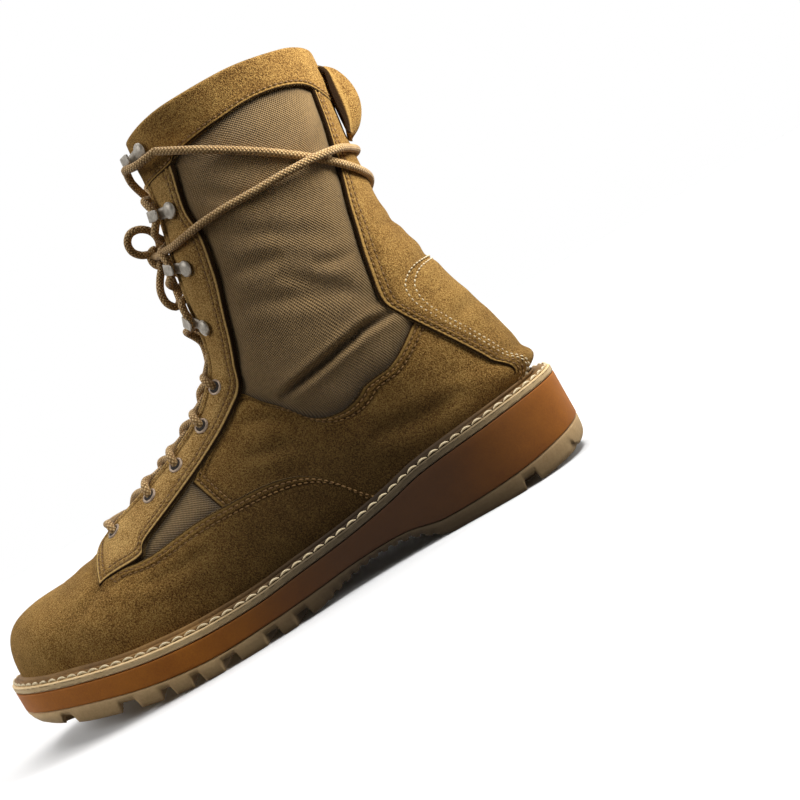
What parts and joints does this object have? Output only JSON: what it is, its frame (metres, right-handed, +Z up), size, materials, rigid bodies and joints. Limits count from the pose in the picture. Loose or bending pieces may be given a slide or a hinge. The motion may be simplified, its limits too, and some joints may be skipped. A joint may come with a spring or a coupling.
{
  "type": "combat boot",
  "caption": "Ankle-high lace-up combat boot: suede and nylon upper on a welted, layered, lugged rubber sole, laces wrapped round the shaft and tied in a bow.",
  "frame": {"origin": "middle of the sole's box on the ground", "axes": "+X to the toe, +Y to the wearer's left, which is the outer side of this left boot, +Z up"},
  "size_m": [0.31, 0.114, 0.2335],
  "materials": {
    "outsole_rubber": "beige lugged rubber, matt",
    "midsole_rubber": "orange-brown cellular rubber, matt",
    "strip_rubber": "pale beige strip, matt",
    "welt_leather": "olive-tan welt with cream outsole stitches",
    "insole_cloth": "dark brown footbed",
    "upper_suede": "tan suede overlays on khaki nylon, double stitched",
    "collar_suede": "tan suede padded collar band",
    "tongue_cloth": "khaki nylon, padded, leather bound top",
    "webbing": "tan suede strap with rolled borders",
    "eyelet_metal": "worn rolled metal rings",
    "hook_metal": "matt grey-taupe lacquered steel",
    "lace_cord": "round woven cord in tan and brown"
  },
  "bodies": {
    "root": {"outsole": "outsole_rubber", "midsole": "midsole_rubber", "midsole_strip": "strip_rubber", "welt": "welt_leather", "insole": "insole_cloth", "upper": "upper_suede", "collar": "collar_suede", "tongue": "tongue_cloth", "pull_loop": "webbing", "eyelet_lateral_1": "eyelet_metal", "eyelet_medial_1": "eyelet_metal", "eyelet_lateral_2": "eyelet_metal", "eyelet_medial_2": "eyelet_metal", "eyelet_lateral_3": "eyelet_metal", "eyelet_medial_3": "eyelet_metal", "eyelet_lateral_4": "eyelet_metal", "eyelet_medial_4": "eyelet_metal", "eyelet_lateral_5": "eyelet_metal", "eyelet_medial_5": "eyelet_metal", "hook_lateral_1": "hook_metal", "hook_medial_1": "hook_metal", "hook_lateral_2": "hook_metal", "hook_medial_2": "hook_metal", "hook_lateral_3": "hook_metal", "hook_medial_3": "hook_metal", "hook_lateral_4": "hook_metal", "hook_medial_4": "hook_metal", "lace_crossing_1": "lace_cord", "lace_crossing_2": "lace_cord", "lace_crossing_3": "lace_cord", "lace_crossing_4": "lace_cord", "lace_crossing_5": "lace_cord", "lace_crossing_6": "lace_cord", "lace_crossing_7": "lace_cord", "lace_crossing_8": "lace_cord", "lace_knot": "lace_cord", "lace_wrap_lateral": "lace_cord", "lace_wrap_medial": "lace_cord", "lace_loop_upper": "lace_cord", "lace_loop_lower": "lace_cord", "lace_end_long": "lace_cord", "lace_end_short": "lace_cord"}
  },
  "joints": []
}
